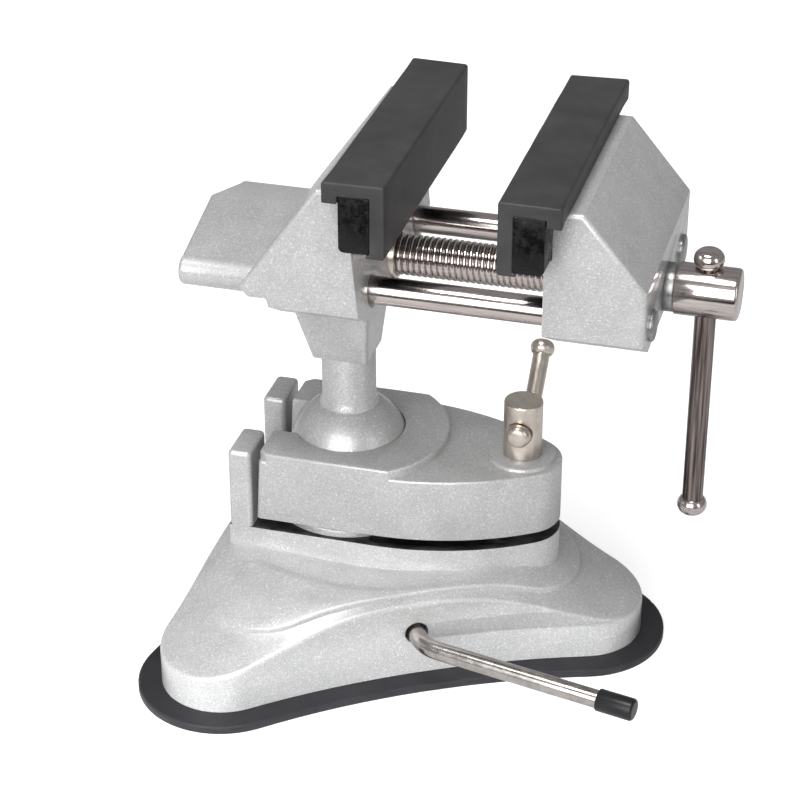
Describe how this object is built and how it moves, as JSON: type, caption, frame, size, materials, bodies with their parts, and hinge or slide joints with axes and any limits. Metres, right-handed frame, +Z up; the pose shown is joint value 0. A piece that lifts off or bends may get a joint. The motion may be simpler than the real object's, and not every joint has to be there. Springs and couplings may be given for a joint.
{
  "type": "suction base vise",
  "caption": "Small bench vise with rubber-covered jaws on a ball-jointed stem, clamped to a lobed foot whose side lever pulls the rubber pad into a vacuum.",
  "frame": {"origin": "centre of the three-lobed suction pad, on its flat underside", "axes": "+Z up out of the pad, +X along the jaws' opening direction towards the screw handle, +Y along the jaws' width"},
  "size_m": [0.1607, 0.16, 0.16],
  "materials": {
    "silver_casting": "silver metallic paint with a fine sparkle over die-cast aluminium",
    "pad_rubber": "soft matte charcoal rubber",
    "cover_rubber": "matte dark grey moulded rubber",
    "black_plate": "glossy black enamelled steel",
    "grip_vinyl": "black dipped vinyl",
    "satin_steel": "satin nickel plate",
    "bright_chrome": "polished nickel-chrome plate",
    "dark_chrome": "polished chrome plate",
    "plain_steel": "plain zinc-plated steel"
  },
  "bodies": {
    "base": {"base_casting": "silver_casting", "suction_pad": "pad_rubber"},
    "lever": {"suction_lever": "satin_steel", "lever_clip": "plain_steel", "lever_grip": "grip_vinyl"},
    "stud": {"lift_stud": "plain_steel"},
    "clamp": {"clamp_plate": "silver_casting"},
    "clamp_screw": {"clamp_screw": "satin_steel"},
    "clamp_bar": {"clamp_bar": "satin_steel", "clamp_bar_knobs": "satin_steel"},
    "ball": {"ball": "silver_casting"},
    "stem": {"stem": "silver_casting"},
    "head": {"fixed_jaw": "silver_casting", "fixed_jaw_plate": "black_plate", "fixed_jaw_cover": "cover_rubber", "fixed_plate_screws": "plain_steel", "lead_nut": "satin_steel"},
    "slide": {"moving_jaw": "silver_casting", "moving_jaw_plate": "black_plate", "moving_jaw_cover": "cover_rubber", "moving_plate_screws": "plain_steel", "near_guide_rod": "bright_chrome", "far_guide_rod": "bright_chrome"},
    "screw": {"lead_screw": "bright_chrome", "screw_clip": "plain_steel", "thrust_washer": "plain_steel"},
    "handle": {"handle_bar": "dark_chrome", "handle_top_knob": "dark_chrome", "handle_bottom_knob": "dark_chrome"}
  },
  "joints": [
    {"name": "suction_lever_turn", "type": "hinge", "parent": "base", "child": "lever", "pos_m": [0, 0, 0.0165], "axis": [0.5, -0.866, 0], "range_deg": [0, 180]},
    {"name": "lift_stud_slide", "type": "slide", "parent": "base", "child": "stud", "axis": [0, 0, 1], "range_m": [0, 0.0024]},
    {"name": "clamp_plate_lift", "type": "slide", "parent": "base", "child": "clamp", "axis": [0, 0, 1], "range_m": [0, 0.00125]},
    {"name": "clamp_screw_turn", "type": "hinge", "parent": "clamp", "child": "clamp_screw", "pos_m": [0.0438, 0, 0.059], "axis": [0, 0, 1], "range_deg": [0, 360.5]},
    {"name": "clamp_bar_slide", "type": "slide", "parent": "clamp_screw", "child": "clamp_bar", "axis": [0, -1, 0], "range_m": [0, 0.003]},
    {"name": "side_tilt", "type": "hinge", "parent": "base", "child": "ball", "pos_m": [-0.009, 0, 0.0532], "axis": [1, 0, 0], "range_deg": [-18, 18]},
    {"name": "fore_and_aft_tilt", "type": "hinge", "parent": "ball", "child": "stem", "pos_m": [-0.009, 0, 0.0532], "axis": [0, 1, 0], "range_deg": [-90, 18]},
    {"name": "head_swivel", "type": "hinge", "parent": "stem", "child": "head", "pos_m": [-0.009, 0, 0.086], "axis": [0, 0, 1], "continuous": true},
    {"name": "jaw_slide", "type": "slide", "parent": "head", "child": "slide", "axis": [1, 0, 0], "range_m": [-0.03, 0.04]},
    {"name": "lead_screw_turn", "type": "hinge", "parent": "slide", "child": "screw", "pos_m": [0.091, 0, 0.1188], "axis": [1, 0, 0], "range_deg": [-6173, 8230]},
    {"name": "handle_slide", "type": "slide", "parent": "screw", "child": "handle", "axis": [0, 0, 1], "range_m": [0, 0.058]}
  ],
  "couplings": [
    {"joint": "lift_stud_slide", "follows": "suction_lever_turn", "m_per_rad": 0.00076387},
    {"joint": "clamp_screw_turn", "follows": "clamp_plate_lift", "rad_per_m": 5026.5},
    {"joint": "lead_screw_turn", "follows": "jaw_slide", "rad_per_m": 3590.4}
  ]
}
